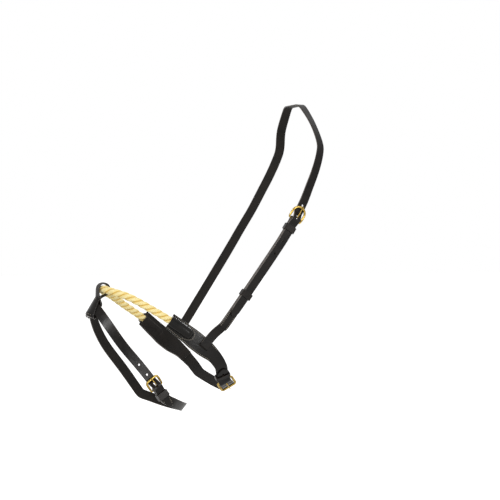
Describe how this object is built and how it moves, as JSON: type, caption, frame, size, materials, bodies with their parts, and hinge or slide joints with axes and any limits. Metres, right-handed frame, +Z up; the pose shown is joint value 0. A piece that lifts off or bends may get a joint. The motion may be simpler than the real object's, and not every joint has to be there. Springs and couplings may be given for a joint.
{
  "type": "noseband",
  "caption": "Leather cavesson noseband with a twisted rope nose piece, lined side leathers, a buckled jaw strap, a crown strap and a flash strap.",
  "frame": {"origin": "middle of the crown strap's underside, where it rests on the poll", "axes": "-X towards the nose, +Y towards the off side, +Z up"},
  "size_m": [0.3598, 0.1867, 0.4711],
  "materials": {
    "strap_leather": "satin black bridle leather",
    "side_leather": "satin black bridle leather, stitched",
    "keeper_leather": "satin black bridle leather",
    "lining_leather": "matt black lining leather",
    "rope": "cream laid rope",
    "brass": "polished"
  },
  "bodies": {
    "noseband": {"crown_strap": "strap_leather", "near_cheekpiece": "strap_leather", "cheek_keeper": "keeper_leather", "nose_rope": "rope", "near_side_leather": "side_leather", "off_side_leather": "side_leather", "near_lining": "lining_leather", "off_lining": "lining_leather", "chin_keeper": "keeper_leather"},
    "cheek_frame": {"cheek_buckle_frame": "brass"},
    "cheek_tongue": {"cheek_buckle_tongue": "brass"},
    "runner": {"cheek_runner": "keeper_leather"},
    "chin_frame": {"chin_buckle_frame": "brass"},
    "chin_tongue": {"chin_buckle_tongue": "brass"},
    "flash": {"flash_loop": "strap_leather", "flash_strap": "strap_leather", "flash_keeper": "keeper_leather"},
    "flash_frame": {"flash_buckle_frame": "brass"},
    "flash_tongue": {"flash_buckle_tongue": "brass"}
  },
  "joints": [
    {"name": "cheek_frame_hinge", "type": "hinge", "parent": "noseband", "child": "cheek_frame", "pos_m": [-0.04551, -0.09035, -0.17945], "axis": [0.8363, -0.0107, -0.5481], "range_deg": [0, 8]},
    {"name": "cheek_tongue_hinge", "type": "hinge", "parent": "cheek_frame", "child": "cheek_tongue", "pos_m": [-0.04551, -0.09035, -0.17945], "axis": [0.8363, -0.0107, -0.5481], "range_deg": [0, 5]},
    {"name": "cheek_runner_slide", "type": "slide", "parent": "noseband", "child": "runner", "axis": [0.5766, -0.0812, 0.813], "range_m": [-0.012, 0.081]},
    {"name": "chin_frame_hinge", "type": "hinge", "parent": "noseband", "child": "chin_frame", "pos_m": [-0.13816, -0.03963, -0.4213], "axis": [-0.7798, 0.3578, -0.5138], "range_deg": [0, 6]},
    {"name": "chin_tongue_hinge", "type": "hinge", "parent": "chin_frame", "child": "chin_tongue", "pos_m": [-0.13816, -0.03963, -0.4213], "axis": [-0.7798, 0.3578, -0.5138], "range_deg": [0, 4]},
    {"name": "flash_hinge", "type": "hinge", "parent": "noseband", "child": "flash", "pos_m": [-0.3182, 0, -0.2827], "axis": [0, 1, 0], "range_deg": [-8, 25]},
    {"name": "flash_frame_hinge", "type": "hinge", "parent": "flash", "child": "flash_frame", "pos_m": [-0.25202, -0.05094, -0.42718], "axis": [0.7985, 0.0315, 0.6012], "range_deg": [0, 8]},
    {"name": "flash_tongue_hinge", "type": "hinge", "parent": "flash_frame", "child": "flash_tongue", "pos_m": [-0.25202, -0.05094, -0.42718], "axis": [0.7985, 0.0315, 0.6012], "range_deg": [0, 5]}
  ]
}
